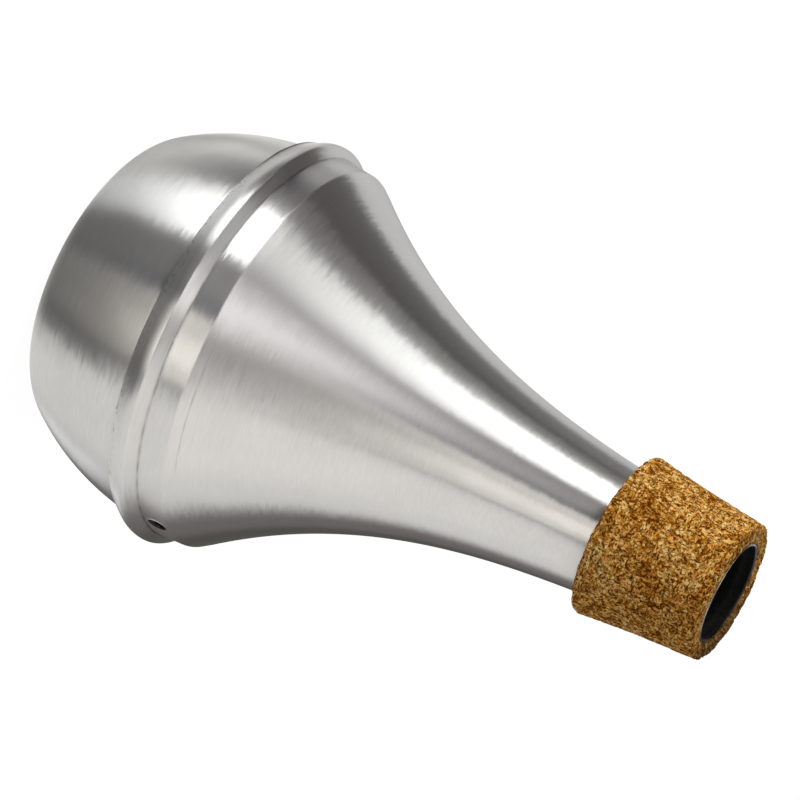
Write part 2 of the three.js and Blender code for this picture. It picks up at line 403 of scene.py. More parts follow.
def body_profile():
    """Closed loop: outside from lip to rim, the rim's edge, inside back down, rolled lip.

    The crease beside the bead and the line scribed at the flare's end are bell-shaped
    grooves, and the bead's edge is a slight bell-shaped ridge. The last two results are
    how dark each point is painted and where the line is: painted shade in the crease, with
    some dirt there, on the rim's edge, over the inside and under the rolled lip."""
    smooth = body_outside()
    crease = near_corner(smooth, (BAND_END_RADIUS, BAND_END), CREASE_WIDTH)
    scribe = near_corner(smooth, (FLARE_END_RADIUS, FLARE_END), SCRIBE_WIDTH)
    edge = near_corner(smooth, (BEAD_RADIUS, BEAD_FLANK + BEAD_EDGE), BEAD_EDGE_WIDTH)
    groove = CREASE_DEPTH * crease + SCRIBE_DEPTH * scribe - BEAD_EDGE_SHARPNESS * edge
    outer = inner_side(smooth, groove[:, None])
    outer[:, 0] = np.minimum(outer[:, 0], BEAD_RADIUS)
    inner = inner_side(smooth, SHEET_WALL)
    from_rim = NECK_RIM - outer[:, 1]
    rim_wall = NECK_RIM_WALL + (SHEET_WALL - NECK_RIM_WALL) * climb(from_rim, NECK_THINNING)
    at_neck = from_rim < NECK_THINNING
    inner[at_neck] = outer[at_neck] - rim_wall[at_neck, None] * [1, 0]
    lip = half_round(inner[0], outer[0], LIP_STEPS)
    rim = half_round(outer[-1], inner[-1], RIM_STEPS)
    # Painted shade: in the crease (with some dirt there), on the rim's edge, over the whole inside,
    # and on the inner half of the rolled lip
    shade_and_dirt = np.concatenate([
        CREASE_SHADE * crease,
        np.clip(np.linspace(0.3, 2.2, len(rim)), 0, 1),
        np.ones(len(inner)),
        np.clip(np.linspace(1.5, -0.5, len(lip)), 0, 1),
    ])
    return outer, np.concatenate([outer, rim, inner[::-1], lip]), shade_and_dirt, scribe


def bowl_profile():
    """Outside from the axis round the base corner to the flange, and back on the inside."""
    centre = bowl_side_centre()
    meet = atan2(*(BOWL_CORNER - centre)[::-1])
    end = atan2(*(BOWL_MOUTH - centre)[::-1])
    fine = meet + (end - meet) * BOWL_FINE_FROM
    outer = join([
        run((BASE_POLE_RADIUS, 0), (BASE_FLAT_RADIUS, 0), 1.6),
        arc(BOWL_CORNER, BOWL_CORNER_RADIUS, -pi / 2, meet, 30),
        arc(centre, BOWL_SIDE_RADIUS, meet, fine, 33),
        arc(centre, BOWL_SIDE_RADIUS, fine, end, 60),
        arc(BOWL_MOUTH + [FLANGE_BEND, 0], FLANGE_BEND, pi, pi / 2, 6),
        run((BOWL_MOUTH_RADIUS + FLANGE_BEND, FLANGE_BACK), (FLANGE_RADIUS, FLANGE_BACK), 0.5),
    ])
    return np.concatenate([outer, inner_side(outer, SHEET_WALL)[::-1]])


def cork_profile():
    """Closed loop: bore, back face, slightly hollow side, tip face and its dish to the bore."""
    back = MUTE_HEIGHT - CORK_LENGTH
    seat_radius = NECK_RIM_RADIUS + CORK_MOUTH_GAP
    back_bore = float(flare_radius(CORK_LENGTH)) + CORK_BORE_GAP
    bore = run((seat_radius, NECK_RIM), (back_bore, back), 3)
    skin = bent_outline([
        (back_bore, back, 0, 0),
        (CORK_BACK_RADIUS, back, CORK_BACK_ROUND, 8),
        (CORK_TIP_RADIUS, MUTE_HEIGHT, CORK_TIP_ROUND, 7),
        (seat_radius + CORK_DISH, MUTE_HEIGHT, 1.0, 4),
        (seat_radius, NECK_RIM, 0, 0),
    ], CORK_SPACING)
    share = (MUTE_HEIGHT - skin[:, 1]) / CORK_LENGTH
    on_side = climb(skin[:, 0] - back_bore + 0.5, 1.5)
    skin[:, 0] -= CORK_SAG * on_side * np.sin(pi * share ** CORK_SAG_POWER)
    return bore, join([bore, skin[:-1]])


def liner_profile():
    """Closed loop of a tapered tube whose front edge flares out to the neck's rim."""
    from_rim = np.linspace(LINER_LENGTH, LINER_LIP_START, LINER_ROWS)
    radius = flare_radius(from_rim) - SHEET_WALL - SEAT_GAP
    wall = np.stack([radius, MUTE_HEIGHT - from_rim], axis=1)
    lip_wall = LINER_WALL - LINER_LIP
    front_height = NECK_RIM - LINER_RECESS - lip_wall / 2
    front = np.array([NECK_RIM_RADIUS - NECK_RIM_WALL, front_height])
    outer = join([wall, run(wall[-1], front, 0.4)])
    bore = outer - [LINER_WALL, 0]
    bore[outer[:, 1] > MUTE_HEIGHT - LINER_LIP_THIN, 0] += LINER_LIP
    front_edge = half_round(front, bore[-1], 6)
    return join([outer, front_edge, bore[::-1]])


def foam_profile():
    """Closed loop of the strip that lines the chamber, upright above the bowl's mouth."""
    foot = BOWL_HEIGHT * DAMPING_FOOT_SHARE
    foot_radius = bowl_side_radius(foot) - SHEET_WALL - SEAT_GAP
    mouth_radius = BOWL_MOUTH_RADIUS - SHEET_WALL - SEAT_GAP
    inner = mouth_radius - DAMPING_THICKNESS
    return bent_outline([
        (inner, BOWL_HEIGHT, 0, 0),
        (inner, foot, DAMPING_ROUND / 2, 8),
        (foot_radius, foot, DAMPING_ROUND, 10),
        (mouth_radius, FLANGE_BACK, 0, 0),
        (mouth_radius, SHOULDER_END, DAMPING_ROUND, 10),
        (inner, SHOULDER_END, DAMPING_ROUND / 2, 8),
        (inner, BOWL_HEIGHT, 0, 0),
    ], DAMPING_SPACING)[:-1]


# Surfaces

def column_angles(columns):
    """Even angles round the axis, one for each column of a grid."""
    return np.arange(columns) * tau / columns


def turned(profile, columns):
    """Profile point (r, z) at angle a stands at (r cos a, r sin a, z), on an even grid."""
    angle = column_angles(columns)
    radius, height = profile[:, :1], profile[:, 1:]
    return np.stack([radius * np.cos(angle), radius * np.sin(angle), height + 0 * angle], axis=2)


def grid_quads(index):
    """Quads between neighbours of an index grid whose columns come round."""
    after = np.roll(index, -1, axis=1)
    corners = [index[:-1], after[:-1], after[1:], index[1:]]
    return np.stack(corners, axis=2).reshape(-1, 4)


def loop_index(rows, columns):
    """Index grid of a closed loop's surface: its last row meets its first."""
    index = np.arange(rows * columns).reshape(rows, columns)
    return np.concatenate([index, index[:1]])


def add_object(name, data):
    """A new object at the origin that shows the data."""
    holder = bpy.data.objects.new(name, data)
    bpy.context.scene.collection.objects.link(holder)
    return holder


def add_mesh(name, points, faces, share, marks=None):
    """Mesh of quads and triangles, with U round the axis and V from each point's share.

    Marks are named numbers for each point, which the material reads as attributes."""
    mesh = bpy.data.meshes.new(name)
    mesh.from_pydata((points * MM).tolist(), [], [row for face in faces for row in face.tolist()])
    mesh.shade_smooth()
    turn = np.arctan2(points[:, 1], points[:, 0]) / tau % 1
    layer = mesh.uv_layers.new(name="turned")
    coordinates = []
    for face in faces:
        across = turn[face]
        across = across + (across.max(1, keepdims=True) - across > 0.5)
        coordinates.append(np.stack([across, share[face]], axis=2).reshape(-1, 2))
    layer.data.foreach_set("uv", np.concatenate(coordinates).astype(np.float32).ravel())
    for key, values in (marks or {}).items():
        mark = mesh.attributes.new(key, "FLOAT", "POINT")
        mark.data.foreach_set("value", values.astype(np.float32))
    mesh.validate()
    mesh.update()
    return add_object(name, mesh)


def add_turned(name, profile, points, marks=None):
    """Mesh of a closed profile's turned points, with their columns found by count."""
    columns = len(points) // len(profile)
    length = profile_length(profile)
    share = np.repeat(length / length[-1], columns)
    return add_mesh(name, points, [grid_quads(loop_index(len(profile), columns))], share, marks)


def settle_rim(points):
    """Points near the neck's rim drawn in, moved down by a tilted plane and to one side.

    The move fades with the depth below the rim and with the distance from the bore."""
    radius = np.hypot(points[..., 0], points[..., 1])
    angle = np.arctan2(points[..., 1], points[..., 0])
    depth = climb(NECK_RIM - points[..., 2], RIM_SETTLE_DEPTH)
    fade = (1 - depth) ** 2 * climb(NECK_RIM_RADIUS + RIM_SETTLE_REACH - radius, RIM_SETTLE_FADE)
    drop = RIM_DROP + RIM_TILT * np.cos(angle - RIM_TILT_ANGLE)
    lowered = points[..., 2] - fade * drop * radius / NECK_RIM_RADIUS
    points[..., 2] = np.minimum(lowered, MUTE_HEIGHT)
    points[..., :2] *= 1 - RIM_SHRINK * fade[..., None]
    points[..., 1] += fade * RIM_SHIFT


def ripple(angle, kind):
    """A middle plus sines round the axis, of random counts, phases and sizes."""
    middle, reach, seed, waves, low, high = kind
    random = np.random.default_rng(seed)
    count = random.integers(low, high, waves)[:, None]
    phase = random.uniform(0, tau, waves)[:, None]
    size = random.uniform(0.4, 1, waves)[:, None]
    return middle + reach * ((size * np.sin(count * angle + phase)).sum(0) / size.sum())


def lattice_random(cell, seed):
    """A repeatable number from 0 to 1 for each whole-numbered cell of a lattice."""
    mixed = cell[..., 0] * 73856093 ^ cell[..., 1] * 19349663 ^ cell[..., 2] * 83492791
    mixed = (mixed ^ seed * 2654435761) & 0xFFFFFFFF
    mixed = (mixed ^ mixed >> 15) * 2246822519 & 0xFFFFFFFF
    mixed = (mixed ^ mixed >> 13) * 3266489917 & 0xFFFFFFFF
    return (mixed ^ mixed >> 16) / 0xFFFFFFFF


def granules(points, size, seed):
    """Distance to the nearest and second nearest of one random point per lattice cell."""
    place = points / size
    cell = np.floor(place).astype(np.int64)
    first = np.full(len(points), 9.0)
    second = np.full(len(points), 9.0)
    value = np.zeros(len(points))
    for step in np.ndindex(3, 3, 3):
        near = cell + np.array(step) - 1
        spot = near + np.stack([lattice_random(near, seed + k) for k in range(3)], axis=1)
        distance = norm(place - spot, axis=1)
        closer = distance < first
        second = np.where(closer, first, np.minimum(second, distance))
        value = np.where(closer, lattice_random(near, seed + 7), value)
        first = np.where(closer, distance, first)
    return first, second, value


# Pieces

def vent_patch(grid, outer_rows, inner_rows, columns, first_index):
    """Rings from the window's edge outside, round the hole's edge, to the window inside.

    A ring point lies on its spoke's straight line from the window to the hole. Its depth
    runs from the outer side to the inner side with a quarter round at each edge, and the
    outer side rises towards the hole by a bell curve, as a drill's burr."""
    def border(rows):
        bottom = [(rows[0], c) for c in columns[:-1]]
        side_up = [(r, columns[-1]) for r in rows[:-1]]
        top = [(rows[-1], c) for c in columns[:0:-1]]
        side_down = [(r, columns[0]) for r in rows[:0:-1]]
        return np.array(bottom + side_up + top + side_down)

    def side(rows):
        x, y, height = grid[rows, columns[0]].T
        return height, np.hypot(x, y)

    def on_wall(flat, depth_share):
        height = flat[:, 1] + VENT_HEIGHT
        near = np.interp(height, *side(outer_rows))
        far = np.interp(height, *side(inner_rows))
        away = np.hypot(flat[:, 0], flat[:, 1]) - VENT_RADIUS
        one_side = climb(VENT_BURR_SIDE - flat[:, 0] / VENT_RADIUS, 1) * (1 - depth_share)
        burr = VENT_BURR * bell(away, VENT_BURR_WIDTH) * one_side
        radius = near + burr + (far - near) * depth_share
        return np.stack([flat[:, 0], -np.sqrt(radius ** 2 - flat[:, 0] ** 2), height], axis=1)

    edges = border(outer_rows), border(inner_rows)
    middle = np.array([0, VENT_HEIGHT])
    spoke_out, spoke_in = [grid[tuple(edge.T)][:, [0, 2]] - middle for edge in edges]
    unit = spoke_out / norm(spoke_out, axis=1, keepdims=True)
    quarter = np.linspace(0, pi / 2, VENT_EDGE_RINGS)
    reaches = VENT_RADIUS + VENT_EDGE * (1 - np.sin(quarter))
    depths = VENT_EDGE / SHEET_WALL * (1 - np.cos(quarter))
    rim_out = unit * (VENT_RADIUS + VENT_EDGE)
    rings = [on_wall(spoke_out + (rim_out - spoke_out) * share, 0) for share in VENT_OUTER_RINGS]
    rings += [on_wall(unit * reach, depth) for reach, depth in zip(reaches, depths)]
    rings += [on_wall(unit * reach, 1 - depth) for reach, depth in zip(reaches[::-1], depths[::-1])]
    rings += [on_wall(spoke_in + (rim_out - spoke_in) * share, 1) for share in VENT_INNER_RINGS]
    inner_index = first_index + np.arange(len(rings) * len(unit)).reshape(len(rings), -1)
    first, last = [edge @ [grid.shape[1], 1] for edge in edges]
    index = np.vstack([first, inner_index, last])
    # Rings inside the hole's edge, on its wall and the inner side, get painted shade
    in_shade = np.arange(len(rings)) > len(VENT_OUTER_RINGS)
    return np.concatenate(rings), grid_quads(index), np.repeat(in_shade.astype(float), len(unit))


def body_shade_and_dirt(profile, shade_and_dirt, scribe, scribed, flank, angle):
    """Painted shade and dirt of each grid point: the profile's, changed by bell curves round the
    axis.

    The rim's painted shade is left off where the rim is lit, the crease's painted shade is
    darker on one side, the scribed line shows where it is cut, and the lip and the flank
    get painted shade, with some dirt, where the lip stands off."""
    lip_shaded = bell(angle - LIP_SHADE_ANGLE, LIP_SHADE_SPREAD)
    extra = CREASE_SHADE_EXTRA * bell(angle - CREASE_SHADE_ANGLE, CREASE_SHADE_SPREAD)
    crease_shaded = (1 + extra) * ripple(angle, CREASE_RIPPLE)
    rim_lit = bell(angle - RIM_LIT_ANGLE, RIM_LIT_SPREAD)
    on_rim = profile[:, 1] > MUTE_HEIGHT - 2 * NECK_RIM_RECESS
    shade_and_soil = shade_and_dirt[:, None] * (1 - on_rim[:, None] * rim_lit)
    shade_and_soil = np.minimum(1, np.where(shade_and_dirt[:, None] < FAINT_SHADE, shade_and_soil * crease_shaded, shade_and_soil))
    # Painted gap shade, with some dirt, on the bead's flank near the lip
    flank_shade = flank[:, None] ** 1.5 * lip_shaded * ripple(angle, FLANK_SHADE_RIPPLE)
    at_lip = bell(profile[:, 1] - BEAD_LIP, LIP_LINE_WIDTH)
    at_lip[len(scribe):-LIP_STEPS] = 0
    at_lip[-LIP_STEPS:] = 1
    # Painted gap shade, with some dirt, along the lip's edge
    lip_gap_shade = np.clip(lip_shaded * ripple(angle, LIP_LINE_RIPPLE), 0, 1)
    shade_and_soil = np.maximum.reduce([shade_and_soil, flank_shade, lip_gap_shade * at_lip[:, None]])
    line = scribe[:, None] * scribed * ripple(angle, SCRIBE_RIPPLE)
    shade_and_soil[:len(scribe)] = np.maximum(shade_and_soil[:len(scribe)], line)
    return shade_and_soil


def spun_body():
    """The closed body profile turned about the axis, with a drilled vent at the front.

    The rolled lip and the bead's flank are pushed in and out by a few sines, which fade
    along the flank, as a seam that was rolled by hand. One side of the bead is a little
    flatter by a cosine, and there its lip stands off the bowl."""
    outer, profile, shade_and_dirt, scribe = body_profile()
    rows = len(profile)
    grid = turned(profile, SHEET_COLUMNS)
    angle = column_angles(SHEET_COLUMNS)
    near_lip = climb(BEAD_LIP + LIP_FADE - profile[:, 1], LIP_FADE)
    fade = near_lip[:, None] ** 1.5
    wave = ripple(angle, LIP_RIPPLE) + ripple(angle, LIP_FINE_RIPPLE)
    loose = np.clip(np.cos(angle - LIP_LOOSE_ANGLE), 0, 1) ** 3
    flat_side = np.clip(np.cos(angle - BEAD_FLAT_ANGLE), 0, 1) ** 1.5
    on_bead = climb(BAND_END - BEAD_FLAT_START - profile[:, 1], BEAD_FLAT_FADE)
    inward = fade * (LIP_SET_IN - wave - LIP_LIFT * loose)
    inward += BEAD_FLATNESS * on_bead[:, None] * flat_side
    grid[:, :, :2] *= (1 - inward / BEAD_LIP_RADIUS)[:, :, None]
    settle_rim(grid)
    scribed = climb(np.cos(angle - SCRIBE_ANGLE) - SCRIBE_FROM_COSINE, SCRIBE_FADE_COSINE)
    filled = SCRIBE_DEPTH * scribe[:, None] * (1 - scribed)
    grid[:len(outer), :, :2] *= 1 + filled[:, :, None] / FLARE_END_RADIUS
    grid[:, :, 2] += fade * np.abs(ripple(angle, LIP_EDGE_RIPPLE))
    radius, height = outer.T
    in_band = np.flatnonzero(
        (height > VENT_HEIGHT - VENT_RADIUS - VENT_WINDOW_BELOW)
        & (height < VENT_HEIGHT + VENT_RADIUS + VENT_WINDOW_ABOVE)
        & (radius > SHOULDER_END_RADIUS - VENT_WINDOW_DEPTH)
        & (radius < BAND_END_RADIUS + VENT_WINDOW_DEPTH)
    )
    outer_rows = list(in_band)
    inner_rows = list(2 * len(outer) + RIM_STEPS - 2 - in_band)
    front = SHEET_COLUMNS * 3 // 4
    columns = list(range(front - VENT_HALF_COLUMNS, front + VENT_HALF_COLUMNS + 1))
    quads = grid_quads(loop_index(rows, SHEET_COLUMNS))
    row, column = np.divmod(quads[:, 0], SHEET_COLUMNS)
    in_columns = (column >= columns[0]) & (column < columns[-1])
    in_outer = (row >= outer_rows[0]) & (row < outer_rows[-1])
    in_inner = (row >= inner_rows[-1]) & (row < inner_rows[0])
    quads = quads[~(in_columns & (in_outer | in_inner))]
    points = grid.reshape(-1, 3)
    extra, patch, hole_shade = vent_patch(grid, outer_rows, inner_rows, columns, len(points))
    length = profile_length(profile)
    row_share = length / length[-1]
    band_share = np.interp(extra[:, 2], height[in_band], row_share[in_band])
    share = np.concatenate([np.repeat(row_share, SHEET_COLUMNS), band_share])
    flank = near_lip * (np.arange(rows) < len(outer)) * (profile[:, 1] < BEAD_FLANK)
    # Painted shade on the crease, rim, inside, lip and vent hole, with some dirt; the flank mark
    # places the scuffs
    shade_and_soil = body_shade_and_dirt(profile, shade_and_dirt, scribe, scribed, flank, angle)
    marks = {
        "shade_and_dirt": np.concatenate([shade_and_soil.ravel(), hole_shade]),
        "flank": np.concatenate([np.repeat(flank, SHEET_COLUMNS), 0 * hole_shade]),
    }
    points = np.concatenate([points, extra])
    return add_mesh("spun_body", points, [quads, patch], share, marks), length[-1]


def spun_bowl():
    """The bowl's profile turned about the axis, with a fan of triangles at each pole.

    Its outside gets painted shade above an edge below the lip, which a ripple makes uneven,
    and its inside is painted in full shade."""
    profile = bowl_profile()
    rows = len(profile)
    length = profile_length(profile)
    grid = turned(profile, SHEET_COLUMNS).reshape(-1, 3)
    poles = np.array([[0, 0, 0], [0, 0, SHEET_WALL]])
    index = loop_index(rows, SHEET_COLUMNS)[:-1]
    after = np.roll(index, -1, axis=1)
    bottom = np.stack([np.full(SHEET_COLUMNS, len(grid)), after[0], index[0]], axis=1)
    top = np.stack([np.full(SHEET_COLUMNS, len(grid) + 1), index[-1], after[-1]], axis=1)
    share = np.concatenate([np.repeat(length / length[-1], SHEET_COLUMNS), [0, 1]])
    angle = column_angles(SHEET_COLUMNS)
    # Painted shade below the lip reaches further round the angle where the lip stands off
    reach = BOWL_SHADE_REACH * bell(angle - LIP_SHADE_ANGLE, BOWL_SHADE_SPREAD)
    edge = BEAD_LIP - ripple(angle, BOWL_SHADE_RIPPLE) - reach
    shade_and_soil = climb(profile[:, 1:] - edge, BOWL_SHADE_FADE)
    # The bowl's inside is painted in full shade
    shade_and_soil[rows // 2:] = 1
    marks = {"shade_and_dirt": np.concatenate([shade_and_soil.ravel(), [0, 1]])}
    faces = [grid_quads(index), bottom, top]
    points = np.concatenate([grid, poles])
    return add_mesh("spun_bowl", points, faces, share, marks), length[-1]


def cork_pits(points):
    """Depth of the skin's pits, as a share of the full depth.

    It grows where the nearest and second nearest granule centres are equally far, some
    granules sit lower than their neighbours, and some near the edges are missing."""
    radius = np.hypot(*points.T[:2])
    first, second, value = granules(points, *CORK_COARSE)
    gap = 1 - climb(second - first, CORK_PIT_WIDTH)
    fine_first, fine_second, fine_value = granules(points, *CORK_FINE)
    fine_gap = 1 - climb(fine_second - fine_first, CORK_FINE_PIT_WIDTH)
    depth = CORK_GAP_SHARE * gap ** 2 * (value > CORK_DEEP_FROM) + CORK_SINK_SHARE * value
    depth += CORK_FINE_SHARE * fine_gap * fine_value
    chip_first, chip_second, chip_value = granules(points, *CORK_CHIPS)
    chipped = climb(chip_value - CORK_CHIP_FROM, CORK_CHIP_FADE)
    chipped *= climb(chip_second - chip_first, CORK_CHIP_GAP)
    to_tip_edge = np.hypot(radius - CORK_TIP_RADIUS, points[:, 2] - MUTE_HEIGHT)
    to_back_edge = np.hypot(radius - CORK_BACK_RADIUS, points[:, 2] - MUTE_HEIGHT + CORK_LENGTH)
    to_edge = np.minimum(to_tip_edge, to_back_edge)
    depth += CORK_CHIP_DEPTH * chipped * bell(to_edge, CORK_CHIP_REACH)
    rough = climb(radius - CORK_CALM_RADIUS, CORK_CALM_FADE)
    return depth * (CORK_CALM_SHARE + (1 - CORK_CALM_SHARE) * rough)


def cork_shade_and_dark_side(points, angle, on_skin):
    """Painted shade in the dish round the bore, and a darker stretch of the tip face."""
    radius = np.hypot(*points.T[:2])
    depth = MUTE_HEIGHT - points[:, 2]
    in_dish = (radius < DISH_SHADE_RADIUS) & (depth < DISH_SHADE_DEPTH)
    # Painted shade in the dish round the bore
    darkening = climb(depth - DISH_SHADE_START, DISH_SHADE_FADE) * in_dish
    beside = np.abs((angle - TIP_DARK_ANGLE + pi) % tau - pi)
    patch = climb(TIP_DARK_SPREAD - beside, TIP_DARK_SIDE_FADE)
    patch *= climb(TIP_DARK_DEPTH - depth, TIP_DARK_DEPTH_FADE)
    return np.maximum(darkening, TIP_DARK_STRENGTH * patch * on_skin)


def cork():
    """The cork's closed profile turned about the axis and pitted square to its skin.

    The back edge is cut a little slanted, by a cosine round the axis that fades towards
    the tip, with a few sines on top."""
    bore, profile = cork_profile()
    points = turned(profile, CORK_COLUMNS).reshape(-1, 3)
    angle = np.tile(column_angles(CORK_COLUMNS), len(profile))
    on_skin = np.repeat(np.arange(len(profile)) > len(bore), CORK_COLUMNS)
    along = tangents(np.concatenate([profile[-1:], profile, profile[:1]]))[1:-1]
    inward = turned(np.stack([-along[:, 1], along[:, 0]], axis=1), CORK_COLUMNS).reshape(-1, 3)
    depth = CORK_PIT_DEPTH * cork_pits(points[on_skin])
    points[on_skin] += depth[:, None] * inward[on_skin]
    from_tip = climb(MUTE_HEIGHT - points[:, 2], CORK_LENGTH)
    slant = CORK_SLANT * np.cos(angle - CORK_SLANT_ANGLE) + ripple(angle, CORK_BACK_RIPPLE)
    points[:, 2] += slant * from_tip ** 3
    # Painted shade in the dish round the bore, and a darker stretch of the tip face
    darkening = cork_shade_and_dark_side(points, angle, on_skin)
    settle_rim(points)
    return add_turned("cork_grip", profile, points, {"shade_and_dirt": darkening})


def liner():
    """The liner's closed profile turned about the axis."""
    profile = liner_profile()
    points = turned(profile, LINER_COLUMNS).reshape(-1, 3)
    settle_rim(points)
    return add_turned("bore_liner", profile, points)


def foam():
    """The strip's closed profile turned about the axis, dimpled between its foam cells."""
    profile = foam_profile()
    points = turned(profile, FOAM_COLUMNS).reshape(-1, 3)
    first, _, value = granules(points, *FOAM_CELLS)
    dimple = DAMPING_DIMPLE * np.clip(1 - first, 0, 1) + DAMPING_SINK * value
    radius = np.hypot(*points.T[:2])
    inward = profile.mean(0) - np.stack([radius, points[:, 2]], axis=1)
    inward /= norm(inward, axis=1, keepdims=True)
    points[:, :2] *= (1 + dimple * inward[:, 0] / radius)[:, None]
    points[:, 2] += dimple * inward[:, 1]
    return add_turned("foam_ring", profile, points)


# Materials

# Metal: its colours, its ring patterns as (bumps in a turn, bumps per millimetre, detail,
# offset), and how far fine and broad rings tip the surface
METAL_DARK = (0.755, 0.742, 0.720, 1)
METAL_PALE = (0.845, 0.832, 0.810, 1)
METAL_DULL = (0.62, 0.60, 0.57, 1)
# Dark colour of painted shade, dirt and scuffs
METAL_SHADE_AND_DIRT = (0.045, 0.042, 0.038, 1)
FINE_RINGS = (11.0, 2.9, 2.0, 3.0)
MEDIUM_RINGS = (5.0, 0.9, 2.0, 17.0)
BROAD_RINGS = (1.6, 0.10, 2.0, 31.0)
SMUDGE_RINGS = (4.0, 0.10, 3.0, 47.0)
SCUFF_RINGS = (34.0, 0.9, 2.0, 59.0)
FINE_TIP = 0.12
BROAD_TIP = 0.03

# Cork and foam: colours, and sizes of their cells as a number per metre
CHIP_SCALE = 980.0
SMALL_CHIP_SCALE = 2050.0
DOT_SCALE = 1400.0
CORK_GAP = (0.070, 0.018, 0.002, 1)
CORK_DOT = (0.060, 0.014, 0.001, 1)
# Colour of the painted shade round the bore and of the tip's darker stretch
CORK_DARK_BROWN = (0.030, 0.014, 0.006, 1)
FOAM_SCALE = 1500.0
FOAM_DUST = (0.060, 0.075, 0.055, 1)


class Tree:
    """Short calls for making and linking the nodes of a material or of the world."""

    def __init__(self, owner):
        owner.use_nodes = True
        self.owner = owner
        self.nodes = owner.node_tree.nodes
        self.nodes.clear()

    def feed(self, socket, value):
        if isinstance(value, bpy.types.NodeSocket):
            self.owner.node_tree.links.new(value, socket)
        else:
            socket.default_value = value

    def add(self, kind, inputs=None, settings=None):
        node = self.nodes.new("ShaderNode" + kind)
        for key, value in (settings or {}).items():
            setattr(node, key, value)
        for key, value in (inputs or {}).items():
            self.feed(node.inputs[key], value)
        return node

    def math(self, operation, *values):
        inputs = dict(enumerate(values))
        return self.add("Math", inputs, {"operation": operation}).outputs[0]

    def plus(self, first, second):
        return self.math("ADD", first, second)

    def times(self, first, second):
        return self.math("MULTIPLY", first, second)

    def vector(self, operation, first, second=None):
        inputs = {0: first}
        if second is not None:
            inputs["Scale" if operation == "SCALE" else 1] = second
        return self.add("VectorMath", inputs, {"operation": operation}).outputs[0]

    def place(self):
        return self.add("TexCoord").outputs["Object"]

    def noise(self, place, scale, detail=2.0, roughness=0.5, output="Fac"):
        values = {"Vector": place, "Scale": scale, "Detail": detail, "Roughness": roughness}
        return self.add("TexNoise", values).outputs[output]

    def cells(self, place, scale, feature="F1"):
        values = {"Vector": place, "Scale": scale}
        return self.add("TexVoronoi", values, {"feature": feature})

    def channel(self, node, index):
        values = {"Color": node.outputs["Color"]}
        return self.add("SeparateColor", values).outputs[index]

    def mark(self, name, output="Fac"):
        return self.add("Attribute", None, {"attribute_name": name}).outputs[output]

    def ramp(self, value, stops):
        node = self.add("ValToRGB", {"Fac": value})
        elements = node.color_ramp.elements
        while len(elements) < len(stops):
            elements.new(0.5)
        for element, (position, colour) in zip(elements, stops):
            element.position = position
            element.color = (*colour, 1)
        return node.outputs["Color"]

    def spread(self, value, low, high, new_low=0.0, new_high=1.0):
        ends = {"From Min": low, "From Max": high, "To Min": new_low, "To Max": new_high}
        return self.add("MapRange", {"Value": value, **ends}).outputs["Result"]

    def blend(self, share, first, second, kind="RGBA"):
        low, high, output = {"RGBA": (6, 7, 2), "VECTOR": (4, 5, 1)}[kind]
        values = {0: share, low: first, high: second}
        return self.add("Mix", values, {"data_type": kind}).outputs[output]

    def bump(self, height, strength, distance):
        values = {"Strength": strength, "Distance": distance, "Height": height}
        return self.add("Bump", values).outputs[0]

    def emission(self, colour, strength):
        values = {"Color": colour, "Strength": strength}
        return self.add("Emission", values).outputs[0]

    def close(self, shader, output="OutputMaterial"):
        self.add(output, {"Surface": shader})
        return self.owner

    def principled(self, values):
        return self.close(self.add("BsdfPrincipled", values).outputs[0])


def new_material(name):
    return Tree(bpy.data.materials.new(name))


